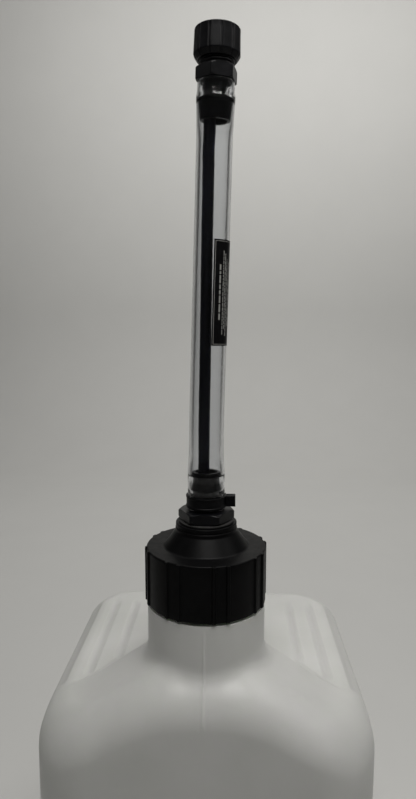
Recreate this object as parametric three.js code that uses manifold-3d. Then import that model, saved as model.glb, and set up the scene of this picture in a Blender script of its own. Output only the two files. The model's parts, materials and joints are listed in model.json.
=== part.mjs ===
// Square utility jug whose screw cap carries a clear pour hose with a vent tube and a knob.
// Millimetres, +Z up. The jug stands on z = 0, its front faces -Y, and its neck is near the front.
import * as THREE from 'three';
import { mergeVertices } from 'three/addons/utils/BufferGeometryUtils.js';
import Module from 'manifold-3d';

const wasm = await Module();
wasm.setup();

// ---- driving dimensions -------------------------------------------------------------------
const GAP = 0.3;
// Cutting shapes run past the faces they cut by OVERCUT, and joined shapes run into each other by OVERLAP.
const OVERCUT = 1;
const OVERLAP = 1;

const JUG = {
  half: 125, deck: 345, corner: 45, topEdge: 20, baseEdge: 18, wall: 3,
  recess: 3, recessHalf: 88, recessCorner: 30, floor: 6, flare: 43, boss: 44, edgeShare: 0.8,
};
// Raised front of the shoulder: its ridge falls away to both sides, and a ramp behind the crease
// leads down to the deck.
const FRONT = {
  flare: 80, top: 384, blend: 30, crease: -50, creaseBack: -12.5, creaseFrom: 60, creaseSpan: 52,
  rampRatio: 2.6, rampShort: 8, rampLong: 40, rampPower: 1.6, join: 4,
};
const NECK = {
  y: -65, ledge: 421, outer: 39.5, inner: 36.5, lip: 458,
  pitch: 6.5, turns: 1.5, ridge: 1.2, threadStart: 435, boreFrom: 400,
};
const HANDLE = { halfWidth: 14, halfHeight: 11, start: -30, top: 396, bend: 34, end: 84, foot: 333 };
const FLUTE = { firstX: 77, spacing: 20, fronts: [-19, -43, -54], back: 92, radius: 5, lift: 3.3 };

const CAP = {
  bottom: 423, top: 464, outer: 44.5, bore: 42.6, roof: 3.5,
  coneBase: 31, coneTop: 22.5, collar: 476, rim: 482, coneWall: 3,
  edge: 1.2, footWidth: 3, footRise: 0.8, collarDrop: 2,
  ribPairs: 8, ribPhase: 15.5, ribSpread: 6.5, ribWidth: 2.6, ribProud: 1.3, ribRoot: 0.6, ribMargin: 0.8,
};
const GASKET = { inner: 34, outer: 41.8, thickness: 1.9 };

const ADAPTER = {
  stub: 15.9, stubEnd: 461.5, hexBottom: 483.9, hexTop: 491.4, hexRadius: 21, hexPhase: 28,
  bore: 8, tip: 520, root: 9.9, barb: 11.1, barbBases: [497, 506, 516.5], barbLength: 5.5,
  barbEdge: 0.2, chamfer: 2, lead: 0.8,
};
const GUIDE = { wall: 1.1, inset: 1, webThickness: 1.2, webDepth: 4, webOffset: 1.6 };
const WASHER = { inner: 16.3, outer: 20.4, thickness: 1.3 };
const LOCKNUT = { bottom: 463, top: 472.6, radius: 19, bore: 16.2, chamfer: 0.8 };

const HOSE = {
  bottom: 491.8, outer: 12.7, inner: 9.8, bulge: 13.8, sleeve: 11.45, topSleeve: 12.2, underClamp: 13.3,
  bendStart: 520, bendLength: 56, lean: THREE.MathUtils.degToRad(1.63), end: 214.5,
  swellStart: 2.5, swellEnd: 3, settle: 12, innerSettle: 8, taper: 6, innerTaper: 8,
  swellRise: 11, swellTop: 16, sleeveTop: 18, lipThin: 0.9, lipStep: 1,
};
const VENT = { outer: 4.2, inner: 2.8, bottom: 384, lowOffset: -1.7, highOffset: -3.8, end: 236 };
const CLAMP = {
  bottom: 493.5, height: 8.6, inner: 13.6, outer: 15.1, lugReach: 21.6, lugDepth: 7, lugRoot: 0.6,
  teeth: 4, toothDepth: 0.8, toothFrom: 1.2, toothMargin: 1,
};
const LABEL = { bottom: 36.3, height: 73, from: 10, sweep: 111, inner: 12.74, outer: 13.04 };

// Heights of the nozzle and its knob are measured along the leaning end of the hose.
const NOZZLE = {
  tip: 188.8, rim: 203.2, rimRadius: 11.9, tipRadius: 10.4, stem: 9.5, bore: 8.3,
  hexBottom: 215, hexTop: 223.4, hexRadius: 15, hexPhase: -11.5, core: 11.8, threadOuter: 12.5, lip: 244.2,
  pitch: 2.2, turns: 4, threadStart: 232.5, chamfer: 0.9, rimEdge: 0.6, lead: 0.8,
};
const KNOB = {
  bottom: 228.4, top: 248.4, outer: 16.3, topOuter: 15.8, skirt: 13.8, skirtRise: 3.4, bore: 12.9,
  roof: 1.9, edge: 1.2, grooves: 12, groovePhase: 12, grooveRadius: 1.5, grooveDepth: 0.6,
};
const SEAL = { radius: 12.4, thickness: 1.7 };

// ---- materials ----------------------------------------------------------------------------
const plastic = (color, roughness) => new THREE.MeshStandardMaterial({ color, roughness, metalness: 0 });
const MATERIALS = {
  jug: new THREE.MeshStandardMaterial({ color: 0xd9dbd4, roughness: 0.45, metalness: 0 }),
  blackCap: plastic(0x111113, 0.42),
  blackFitting: plastic(0x151519, 0.3),
  nylon: plastic(0x1a1a1c, 0.5),
  rubber: plastic(0x222222, 0.85),
  clearHose: new THREE.MeshStandardMaterial({
    color: 0xc6c9cf, roughness: 0.12, metalness: 0, transparent: true, opacity: 0.4,
  }),
  ventTube: plastic(0x14151c, 0.4),
  label: plastic(0x0c0c0e, 0.5),
};

// ---- helpers ------------------------------------------------------------------------------
const { degToRad } = THREE.MathUtils;

// Horizontal direction at an angle measured from the front (-Y) towards +X.
function heading(degrees) {
  const angle = degToRad(degrees);
  return new THREE.Vector2(Math.sin(angle), -Math.cos(angle));
}

function signedVolume(positions, triangles) {
  let volume = 0;
  const corner = (i) => new THREE.Vector3().fromArray(positions, 3 * i);
  for (let i = 0; i < triangles.length; i += 3) {
    const [a, b, c] = [0, 1, 2].map((k) => corner(triangles[i + k]));
    volume += a.dot(b.cross(c)) / 6;
  }
  return volume;
}

// Turns a closed geometry into a solid whose faces point out.
function solid(geometry) {
  const bare = geometry.clone();
  bare.deleteAttribute('normal');
  bare.deleteAttribute('uv');
  const merged = mergeVertices(bare, 1e-4);
  const index = merged.index.array;
  const triangles = [];
  for (let i = 0; i < index.length; i += 3) {
    const [a, b, c] = [index[i], index[i + 1], index[i + 2]];
    if (a !== b && b !== c && c !== a) triangles.push(a, b, c);
  }
  const positions = new Float32Array(merged.attributes.position.array);
  if (signedVolume(positions, triangles) < 0) triangles.reverse();
  return new wasm.Manifold(new wasm.Mesh({
    numProp: 3, vertProperties: positions, triVerts: new Uint32Array(triangles),
  }));
}

function node(name, body, material) {
  const { vertProperties, triVerts } = body.getMesh();
  const geometry = new THREE.BufferGeometry();
  geometry.setAttribute('position', new THREE.BufferAttribute(new Float32Array(vertProperties), 3));
  geometry.setIndex(new THREE.BufferAttribute(new Uint32Array(triVerts), 1));
  geometry.computeVertexNormals();
  const mesh = new THREE.Mesh(geometry, material.clone());
  mesh.name = name;
  return mesh;
}

// Solid of revolution about Z from [radius, height] pairs.
function turned(profile, segments = 32) {
  const points = profile.map(([radius, height]) => new THREE.Vector2(radius, height));
  const geometry = new THREE.LatheGeometry(points, segments);
  geometry.rotateX(Math.PI / 2);
  return solid(geometry);
}

// Ring of revolution: the profile closes on itself.
function ring(profile, segments = 32) {
  return turned([...profile, profile[0]], segments);
}

// Plain cylinder about Z, used to cut bores.
function plug(radius, low, high, segments) {
  return turned([[0, low], [radius, low], [radius, high], [0, high]], segments);
}

function block(width, depth, height, x, y, z) {
  const geometry = new THREE.BoxGeometry(width, depth, height);
  geometry.translate(x, y, z);
  return solid(geometry);
}

// Six-sided nut blank with both ends chamfered; phase is the heading of one corner.
function hexagon(radius, bottom, top, phase, chamfer) {
  const geometry = new THREE.CylinderGeometry(radius, radius, top - bottom, 6);
  geometry.rotateX(Math.PI / 2);
  geometry.rotateZ(degToRad(phase));
  geometry.translate(0, 0, (bottom + top) / 2);
  const limit = radius - chamfer;
  const dressing = turned([
    [0, bottom], [limit, bottom], [radius + 0.1, bottom + chamfer], [radius + 0.1, top - chamfer],
    [limit, top], [0, top],
  ], 24);
  return solid(geometry).intersect(dressing);
}

class Helix extends THREE.Curve {
  constructor(radius, start, pitch, turns) {
    super();
    Object.assign(this, { radius, start, pitch, turns });
  }

  getPoint(t, target = new THREE.Vector3()) {
    const angle = 2 * Math.PI * this.turns * t;
    const height = this.start + this.pitch * this.turns * t;
    return target.set(this.radius * Math.cos(angle), this.radius * Math.sin(angle), height);
  }
}

// Round-nosed thread ridge wound on a core, half sunk in it.
function threadRidge(core, start, pitch, turns, ridge, stepsPerTurn, sides) {
  const section = new THREE.Shape();
  section.absarc(0, 0, ridge, 0, 2 * Math.PI, false);
  const geometry = new THREE.ExtrudeGeometry(section, {
    steps: Math.round(turns * stepsPerTurn),
    curveSegments: sides,
    extrudePath: new Helix(core, start, pitch, turns),
  });
  return solid(geometry);
}

// ---- jug ----------------------------------------------------------------------------------
// Rounded square seen from above, as points with more of them near the neck.
function jugOutline(inset) {
  const half = JUG.half - inset;
  const radius = JUG.corner - inset;
  const flat = half - radius;
  const sidePoints = { front: 8, right: 4, back: 3, left: 4 };
  const cornerPoints = 4;
  const points = [];
  Object.values(sidePoints).forEach((count, side) => {
    const turn = side * Math.PI / 2;
    const place = (x, y) => points.push(new THREE.Vector2(x, y).rotateAround(new THREE.Vector2(), turn));
    for (let i = 0; i < count; i += 1) place(-flat + 2 * flat * i / count, -half);
    for (let i = 0; i < cornerPoints; i += 1) {
      const angle = -Math.PI / 2 + (Math.PI / 2) * i / cornerPoints;
      place(flat + radius * Math.cos(angle), -flat + radius * Math.sin(angle));
    }
  });
  return points;
}

const { clamp } = THREE.MathUtils;

// Height above the inset deck of a fillet that rises to the neck boss.
function flareRise(radius, flare, inset) {
  const away = clamp(JUG.boss + flare - radius, 0, flare + inset);
  return flare + inset - Math.sqrt((flare + inset) ** 2 - away ** 2);
}

function softMin(a, b, blend) {
  const share = clamp(0.5 + (b - a) / (2 * blend), 0, 1);
  return b * (1 - share) + a * share - blend * share * (1 - share);
}

// Height of the shoulder over a place seen from above, before its edge is rounded.
function shoulderHeight(x, y, inset) {
  const around = flareRise(Math.hypot(x, y - NECK.y), JUG.flare, inset);
  const ridge = softMin(flareRise(Math.abs(x), FRONT.flare, inset), FRONT.top - JUG.deck, FRONT.blend);
  const aside = clamp((Math.abs(x) - FRONT.creaseFrom) / FRONT.creaseSpan, 0, 1);
  const behind = y - FRONT.crease - FRONT.creaseBack * aside;
  const ramp = clamp(FRONT.rampRatio * ridge, FRONT.rampShort, FRONT.rampLong);
  const raised = ridge * (1 - clamp(behind / ramp, 0, 1)) ** FRONT.rampPower;
  return JUG.deck - inset + (around ** FRONT.join + raised ** FRONT.join) ** (1 / FRONT.join);
}

// Half section of the jug along one direction, from the middle of the base to the foot of the neck,
// as far out as reach.
function jugSection(reach, direction, inset, floor) {
  const base = JUG.baseEdge - inset;
  const edge = JUG.topEdge - inset;
  const boss = JUG.boss - inset;
  const section = [[0, floor]];
  for (let i = 0; i <= 3; i += 1) {
    const angle = (Math.PI / 2) * i / 3;
    section.push([reach - base + base * Math.sin(angle), floor + base - base * Math.cos(angle)]);
  }
  const edgeSpan = Math.min(edge, JUG.edgeShare * (reach - boss));
  const place = (away) => {
    const radius = reach - away;
    const height = shoulderHeight(direction.x * radius, NECK.y + direction.y * radius, inset);
    const drop = edge - Math.sqrt(edge ** 2 - Math.max(edge - away, 0) ** 2);
    section.push([radius, height - drop]);
  };
  for (let i = 0; i <= 3; i += 1) place(edgeSpan * (1 - Math.cos((Math.PI / 2) * i / 3)));
  for (let i = 1; i <= 6; i += 1) place(edgeSpan + (reach - boss - edgeSpan) * i / 6);
  section.push([boss, NECK.ledge - inset]);
  return section;
}

// A lathe shape whose half section changes with the heading, so that it follows the outline.
function jugSolid(inset, floor, neckRadius, neckTop) {
  const outline = jugOutline(inset);
  const axis = new THREE.Vector2(0, NECK.y);
  const sections = outline.map((point) => {
    const reach = point.distanceTo(axis);
    const direction = point.clone().sub(axis).normalize();
    const section = jugSection(reach, direction, inset, floor);
    return [...section, [neckRadius, NECK.ledge - inset], [neckRadius, neckTop], [0, neckTop]];
  });
  const template = sections[0].map(([radius, height]) => new THREE.Vector2(radius, height));
  const geometry = new THREE.LatheGeometry(template, outline.length);
  const positions = geometry.attributes.position;
  const rows = template.length;
  for (let i = 0; i < positions.count; i += 1) {
    const column = Math.floor(i / rows) % outline.length;
    const direction = outline[column].clone().sub(axis).normalize();
    const [radius, height] = sections[column][i % rows];
    positions.setXYZ(i, direction.x * radius, NECK.y + direction.y * radius, height);
  }
  return solid(geometry);
}

// Grip that bridges from the neck boss to the back of the deck.
function handleSolid(inset) {
  const { start, top, bend, end, foot } = HANDLE;
  const rise = new THREE.CurvePath();
  const corner = new THREE.Vector3(0, end, top);
  rise.add(new THREE.LineCurve3(new THREE.Vector3(0, start, top), new THREE.Vector3(0, end - bend, top)));
  rise.add(new THREE.QuadraticBezierCurve3(
    new THREE.Vector3(0, end - bend, top), corner, new THREE.Vector3(0, end, top - bend),
  ));
  rise.add(new THREE.LineCurve3(new THREE.Vector3(0, end, top - bend), new THREE.Vector3(0, end, foot)));
  const section = new THREE.Shape();
  section.absellipse(0, 0, HANDLE.halfHeight - inset, HANDLE.halfWidth - inset, 0, 2 * Math.PI, false, 0);
  return solid(new THREE.ExtrudeGeometry(section, { steps: 12, curveSegments: 6, extrudePath: rise }));
}

// Shallow grooves pressed along both sides of the deck.
function flutes() {
  const cuts = [];
  for (const side of [-1, 1]) {
    FLUTE.fronts.forEach((front, i) => {
      const x = FLUTE.firstX + i * FLUTE.spacing;
      const past = Math.max(x - (JUG.half - JUG.topEdge), 0);
      const surface = JUG.deck - JUG.topEdge + Math.sqrt(JUG.topEdge ** 2 - past ** 2);
      const length = FLUTE.back - front - 2 * FLUTE.radius;
      const geometry = new THREE.CapsuleGeometry(FLUTE.radius, length, 2, 8);
      geometry.translate(side * x, (front + FLUTE.back) / 2, surface + FLUTE.lift);
      cuts.push(solid(geometry));
    });
  }
  return cuts.reduce((all, cut) => all.add(cut));
}

// Shallow panel pushed up into the base, which leaves a flat foot all round.
function baseRecess() {
  const { recessHalf: half, recessCorner: radius, recess } = JUG;
  const flat = half - radius;
  const outline = new THREE.Shape();
  outline.absarc(flat, flat, radius, 0, Math.PI / 2);
  outline.absarc(-flat, flat, radius, Math.PI / 2, Math.PI);
  outline.absarc(-flat, -flat, radius, Math.PI, 1.5 * Math.PI);
  outline.absarc(flat, -flat, radius, 1.5 * Math.PI, 2 * Math.PI);
  const panel = new THREE.ExtrudeGeometry(outline, {
    depth: OVERCUT, curveSegments: 6, bevelSegments: 1,
    bevelThickness: recess, bevelSize: recess, bevelOffset: -recess,
  });
  panel.translate(0, 0, -OVERCUT);
  return solid(panel);
}

function jugBody() {
  const outside = jugSolid(0, 0, NECK.outer, NECK.lip).add(handleSolid(0));
  const inside = jugSolid(JUG.wall, JUG.floor, NECK.inner, NECK.lip + OVERCUT).add(handleSolid(JUG.wall));
  const thread = threadRidge(NECK.outer, NECK.threadStart, NECK.pitch, NECK.turns, NECK.ridge, 20, 3)
    .translate(0, NECK.y, 0);
  const bore = plug(NECK.inner, NECK.boreFrom, NECK.lip + OVERCUT, 32).translate(0, NECK.y, 0);
  return outside.add(thread).subtract(inside).subtract(bore).subtract(flutes()).subtract(baseRecess());
}

// ---- cap and its fittings, about the neck axis ----------------------------------------------
function screwCap() {
  const { bottom, top, outer, bore, roof, coneBase, coneTop, collar, rim, coneWall } = CAP;
  const { edge, footWidth, footRise, collarDrop, ribWidth, ribProud, ribRoot, ribMargin } = CAP;
  const ceiling = top - roof;
  const hole = ADAPTER.stub + GAP;
  const shell = ring([
    [bore, bottom], [outer, bottom], [outer, top - edge], [outer - edge, top], [coneBase + footWidth, top],
    [coneBase, top + footRise], [coneTop, collar], [coneTop, rim], [hole, rim],
    [hole, collar - collarDrop], [coneTop - coneWall, collar - collarDrop],
    [coneBase - coneWall, ceiling], [bore, ceiling],
  ], 40);
  let cap = shell;
  for (let pair = 0; pair < CAP.ribPairs; pair += 1) {
    for (const side of [-1, 1]) {
      const angle = CAP.ribPhase + 360 * pair / CAP.ribPairs + side * CAP.ribSpread;
      const radius = outer + (ribProud - ribRoot) / 2;
      const length = top - bottom - 2 * ribMargin;
      const rib = block(ribWidth, ribProud + ribRoot, length, 0, -radius, (top + bottom) / 2)
        .rotate([0, 0, angle]);
      cap = cap.add(rib);
    }
  }
  return cap;
}

function capGasket() {
  const low = NECK.lip + GAP;
  const high = low + GASKET.thickness;
  return ring([[GASKET.inner, low], [GASKET.outer, low], [GASKET.outer, high], [GASKET.inner, high]], 40);
}

function adapterWasher() {
  const low = CAP.rim + GAP;
  const high = low + WASHER.thickness;
  return ring([[WASHER.inner, low], [WASHER.outer, low], [WASHER.outer, high], [WASHER.inner, high]]);
}

// Barb outline from its base to its tip: each barb narrows towards the tip.
function barbProfile() {
  const profile = [];
  for (const base of ADAPTER.barbBases) {
    profile.push([ADAPTER.root, base], [ADAPTER.barb, base + ADAPTER.barbEdge]);
    profile.push([ADAPTER.root, Math.min(base + ADAPTER.barbLength, ADAPTER.tip)]);
  }
  return profile;
}

function hoseAdapter() {
  const { stub, stubEnd, hexBottom, hexTop, hexRadius, hexPhase, bore, tip, root, chamfer, lead } = ADAPTER;
  const intoHex = hexBottom + OVERLAP;
  const stem = turned([
    [0, stubEnd], [stub - lead, stubEnd], [stub, stubEnd + lead], [stub, intoHex], [root, intoHex],
    ...barbProfile(), [0, tip],
  ], 24);
  const hex = hexagon(hexRadius, hexBottom, hexTop, hexPhase, chamfer);
  const hole = plug(bore, stubEnd - OVERCUT, tip + OVERCUT, 24);
  return stem.add(hex).subtract(hole).add(ventGuide());
}

// Off-centre sleeve with two webs inside the adapter bore, which holds the vent tube upright.
function ventGuide() {
  const inner = VENT.outer + GAP;
  const outer = inner + GUIDE.wall;
  const low = ADAPTER.hexBottom + GUIDE.inset;
  const high = ADAPTER.hexTop - GUIDE.inset;
  const sleeve = ring([[inner, low], [outer, low], [outer, high], [inner, high]], 16)
    .translate(VENT.lowOffset, 0, 0);
  const { webThickness, webDepth, webOffset } = GUIDE;
  const middle = (low + high) / 2;
  const web = (side) => block(
    webThickness, webDepth, high - low, VENT.lowOffset, side * (outer + webOffset), middle,
  );
  return sleeve.add(web(-1)).add(web(1));
}

function adapterLocknut() {
  const { bottom, top, radius, bore, chamfer } = LOCKNUT;
  const hole = plug(bore, bottom - OVERCUT, top + OVERCUT, 32);
  return hexagon(radius, bottom, top, 0, chamfer).subtract(hole);
}

// ---- hose, vent tube, clamp and label ---------------------------------------------------------
// Centre line of the hose at a height along it, shifted sideways by offset: upright, then leaning.
function hosePoint(height, offset = 0) {
  const { bendStart, bendLength, lean } = HOSE;
  const into = Math.min(Math.max(height - bendStart, 0), bendLength);
  const radius = bendLength / lean;
  const angle = into / radius;
  const rest = height - bendStart - into;
  const x = radius * (1 - Math.cos(angle)) + rest * Math.sin(angle);
  const z = bendStart + radius * Math.sin(angle) + rest * Math.cos(angle);
  return new THREE.Vector3(x + offset * Math.cos(angle), 0, z - offset * Math.sin(angle));
}

const LEAN_START = HOSE.bendStart + HOSE.bendLength;

class HoseLine extends THREE.Curve {
  constructor(from, to, offset) {
    super();
    Object.assign(this, { from, to, offset });
  }

  getPoint(t, target = new THREE.Vector3()) {
    const height = this.from + (this.to - this.from) * t;
    return target.copy(hosePoint(height, this.offset(height)));
  }
}

// Bends an upright turned shape onto the hose's centre line.
function alongHose(profile, segments) {
  const points = [...profile, profile[0]].map(([radius, height]) => new THREE.Vector2(radius, height));
  const geometry = new THREE.LatheGeometry(points, segments);
  geometry.rotateX(Math.PI / 2);
  const positions = geometry.attributes.position;
  for (let i = 0; i < positions.count; i += 1) {
    const centre = hosePoint(positions.getZ(i), positions.getX(i));
    positions.setXYZ(i, centre.x, positions.getY(i), centre.z);
  }
  return solid(geometry);
}

function clearHose() {
  const { bottom, outer, inner, bulge, sleeve, topSleeve, underClamp, end } = HOSE;
  const top = LEAN_START + end;
  const nozzleTip = LEAN_START + NOZZLE.tip;
  const clampTop = CLAMP.bottom + CLAMP.height;
  const { swellStart, swellEnd, settle, innerSettle, taper, innerTaper } = HOSE;
  const { swellRise, swellTop, sleeveTop, lipThin, lipStep } = HOSE;
  return alongHose([
    [sleeve, bottom], [underClamp, bottom], [underClamp, clampTop], [bulge, clampTop + swellStart],
    [bulge, ADAPTER.tip - swellEnd], [outer, ADAPTER.tip + settle], [outer, LEAN_START],
    [outer, nozzleTip - taper], [bulge, nozzleTip + swellRise], [bulge, nozzleTip + swellTop],
    [bulge - lipThin, top], [topSleeve - lipStep, top], [topSleeve, nozzleTip + sleeveTop],
    [topSleeve, nozzleTip + swellRise], [sleeve, nozzleTip - OVERLAP],
    [inner, nozzleTip - innerTaper], [inner, LEAN_START],
    [inner, ADAPTER.tip + innerSettle], [sleeve, ADAPTER.tip + OVERLAP],
  ], 24);
}

// Sideways place of the vent tube in the hose: it drifts to the wall towards the nozzle.
function ventOffset(height) {
  const progress = THREE.MathUtils.smoothstep(height, ADAPTER.tip, LEAN_START + NOZZLE.tip);
  return THREE.MathUtils.lerp(VENT.lowOffset, VENT.highOffset, progress);
}

function ventTube() {
  const section = new THREE.Shape();
  section.absarc(0, 0, VENT.outer, 0, 2 * Math.PI, false);
  const hole = new THREE.Path();
  hole.absarc(0, 0, VENT.inner, 0, 2 * Math.PI, true);
  section.holes.push(hole);
  const line = new HoseLine(VENT.bottom, LEAN_START + VENT.end, ventOffset);
  return solid(new THREE.ExtrudeGeometry(section, { steps: 14, curveSegments: 5, extrudePath: line }));
}

function hoseClamp() {
  const { bottom, height, inner, outer, lugReach, lugDepth, lugRoot } = CLAMP;
  const { teeth, toothDepth, toothFrom, toothMargin } = CLAMP;
  const top = bottom + height;
  const band = ring([[inner, bottom], [outer, bottom], [outer, top], [inner, top]], 32);
  const root = inner + lugRoot;
  let lug = block(lugReach - root, lugDepth, height, (root + lugReach) / 2, 0, (bottom + top) / 2);
  const pitch = (lugReach - outer - toothMargin) / teeth;
  for (let i = 0; i < teeth; i += 1) {
    const x = outer + toothFrom + (i + 0.5) * pitch;
    for (const side of [-1, 1]) {
      const y = side * lugDepth / 2;
      const notch = block(pitch / 2, 2 * toothDepth, height + OVERCUT, x, y, (bottom + top) / 2);
      lug = lug.subtract(notch);
    }
  }
  return band.add(lug);
}

// Thin printed label wrapped part of the way round the straight stretch of the hose.
function hoseLabel() {
  const shape = new THREE.Shape();
  const start = degToRad(LABEL.from - 90);
  const finish = start + degToRad(LABEL.sweep);
  shape.absarc(0, 0, LABEL.outer, start, finish, false);
  shape.absarc(0, 0, LABEL.inner, finish, start, true);
  const geometry = new THREE.ExtrudeGeometry(shape, {
    depth: LABEL.height, bevelEnabled: false, curveSegments: 12,
  });
  geometry.translate(0, 0, LABEL.bottom);
  return solid(geometry);
}

// ---- nozzle end, about the leaning axis ---------------------------------------------------------
function nozzleFitting() {
  const { tip, rim, rimRadius, tipRadius, stem, bore, hexBottom, hexTop, hexRadius, hexPhase } = NOZZLE;
  const { core, lip, threadStart, pitch, turns, threadOuter, chamfer, rimEdge, lead } = NOZZLE;
  const intoHex = hexBottom + OVERLAP;
  const profile = turned([
    [0, tip], [tipRadius, tip], [rimRadius, rim - rimEdge], [rimRadius, rim], [stem, rim + lead],
    [stem, intoHex], [core, intoHex], [core, lip - lead], [core - lead, lip], [0, lip],
  ], 24);
  const hex = hexagon(hexRadius, hexBottom, hexTop, hexPhase, chamfer);
  const thread = threadRidge(core, threadStart, pitch, turns, threadOuter - core, 14, 2);
  const hole = plug(bore, tip - OVERCUT, lip + OVERCUT, 24);
  return profile.add(hex).add(thread).subtract(hole);
}

function knobSeal() {
  const low = NOZZLE.lip + GAP;
  const high = low + SEAL.thickness;
  return turned([[0, low], [SEAL.radius, low], [SEAL.radius, high], [0, high]], 24);
}

function nozzleKnob() {
  const { bottom, top, outer, topOuter, skirt, skirtRise, bore, roof, edge } = KNOB;
  const { grooves, groovePhase, grooveRadius, grooveDepth } = KNOB;
  const shell = turned([
    [0, top - roof], [bore, top - roof], [bore, bottom], [skirt, bottom], [outer, bottom + skirtRise],
    [topOuter, top - edge], [topOuter - 0.3 * edge, top - 0.4 * edge], [topOuter - edge, top], [0, top],
  ], 36);
  let knob = shell;
  for (let i = 0; i < grooves; i += 1) {
    const direction = heading(groovePhase + 360 * i / grooves);
    const low = direction.clone().multiplyScalar(outer + grooveRadius - grooveDepth);
    const groove = new THREE.CylinderGeometry(grooveRadius, grooveRadius, top - bottom + 2, 8);
    groove.rotateX(Math.PI / 2);
    groove.translate(low.x, low.y, (top + bottom) / 2);
    knob = knob.subtract(solid(groove));
  }
  return knob;
}

// ---- assembly -------------------------------------------------------------------------------
const jug = new THREE.Group();
jug.add(node('jug_body', jugBody(), MATERIALS.jug));

const capGroup = new THREE.Group();
capGroup.position.set(0, NECK.y, 0);
capGroup.add(
  node('cap_gasket', capGasket(), MATERIALS.rubber),
  node('screw_cap', screwCap(), MATERIALS.blackCap),
  node('adapter_washer', adapterWasher(), MATERIALS.rubber),
  node('hose_adapter', hoseAdapter(), MATERIALS.blackFitting),
  node('adapter_locknut', adapterLocknut(), MATERIALS.blackFitting),
  node('clear_hose', clearHose(), MATERIALS.clearHose),
  node('vent_tube', ventTube(), MATERIALS.ventTube),
  node('hose_clamp', hoseClamp(), MATERIALS.nylon),
);
jug.add(capGroup);

const nozzleGroup = new THREE.Group();
nozzleGroup.position.copy(hosePoint(LEAN_START));
nozzleGroup.rotation.y = HOSE.lean;
nozzleGroup.add(
  node('hose_label', hoseLabel(), MATERIALS.label),
  node('nozzle_fitting', nozzleFitting(), MATERIALS.blackFitting),
  node('knob_seal', knobSeal(), MATERIALS.rubber),
  node('nozzle_knob', nozzleKnob(), MATERIALS.blackFitting),
);
capGroup.add(nozzleGroup);

export default jug;
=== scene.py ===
"""Looks of the utility jug with its pour hose. Shapes are in millimetres and scaled once, in add_mesh."""
import json
import math

import bmesh
import bpy
import numpy as np
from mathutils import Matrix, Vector


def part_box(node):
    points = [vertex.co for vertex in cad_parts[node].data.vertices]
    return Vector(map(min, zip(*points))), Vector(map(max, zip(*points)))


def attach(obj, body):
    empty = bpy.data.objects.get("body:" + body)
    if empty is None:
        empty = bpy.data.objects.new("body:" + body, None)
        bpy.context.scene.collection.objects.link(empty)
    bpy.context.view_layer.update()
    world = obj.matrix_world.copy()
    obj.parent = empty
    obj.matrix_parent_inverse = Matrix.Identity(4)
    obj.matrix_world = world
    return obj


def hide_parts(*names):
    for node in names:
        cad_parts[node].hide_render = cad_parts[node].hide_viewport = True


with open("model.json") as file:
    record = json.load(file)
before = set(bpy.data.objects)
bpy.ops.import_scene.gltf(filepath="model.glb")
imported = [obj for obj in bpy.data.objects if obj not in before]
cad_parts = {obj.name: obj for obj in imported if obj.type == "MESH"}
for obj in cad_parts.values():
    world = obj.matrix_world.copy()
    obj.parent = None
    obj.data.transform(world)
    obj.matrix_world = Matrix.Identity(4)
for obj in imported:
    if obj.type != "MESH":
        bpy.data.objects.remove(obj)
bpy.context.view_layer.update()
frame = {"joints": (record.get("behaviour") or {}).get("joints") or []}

MM = 0.001
TURN = 2 * math.pi


# ---- places taken from the frame ----------------------------------------------------------------
def node_box(node):
    low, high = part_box(node)
    return np.array(low) / MM, np.array(high) / MM


def joint(name):
    return next(entry for entry in frame["joints"] if entry["name"] == name)


NECK_AXIS = np.array(joint("cap_unscrew")["pos_m"]) / MM
LEAN = math.atan2(joint("knob_unscrew")["axis"][0], joint("knob_unscrew")["axis"][2])
JUG_HIGH = node_box("jug_body")[1]
CAP_LOW, CAP_HIGH = node_box("screw_cap")
GASKET_LOW, GASKET_HIGH = node_box("cap_gasket")
WASHER_LOW, WASHER_HIGH = node_box("adapter_washer")
ADAPTER_LOW, ADAPTER_HIGH = node_box("hose_adapter")
LOCKNUT_LOW, LOCKNUT_HIGH = node_box("adapter_locknut")
HOSE_LOW = node_box("clear_hose")[0]
VENT_LOW = node_box("vent_tube")[0]
CLAMP_LOW, CLAMP_HIGH = node_box("hose_clamp")

# Jug: half width, corner radius and edge radii, deck height, wall, and the flare up to the neck boss.
HALF = JUG_HIGH[0]
CORNER = 45.0
TOP_EDGE = 20.0
BASE_EDGE = 18.0
DECK = 345.0
WALL = 3.0
BOSS = 44.0
FLARE = 43.0
LEDGE = 421.0
NECK_OUTER = 39.5
NECK_INNER = 36.5
NECK_PITCH = 6.5
LIP = JUG_HIGH[2]

# The hose runs upright to BEND_START, bends over BEND_LENGTH, then leans.
BEND_START = ADAPTER_HIGH[2]
BEND_LENGTH = 56.0
LEAN_START = BEND_START + BEND_LENGTH
HOSE_OUTER = 12.7
HOSE_INNER = 9.8
HOSE_BULGE = 13.8
VENT_OUTER = 4.2
VENT_INNER = 2.8
# The vent tube's place across the bore, at the adapter and at the nozzle.
VENT_LOW_OFFSET = -1.7
VENT_HIGH_OFFSET = -3.8


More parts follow.
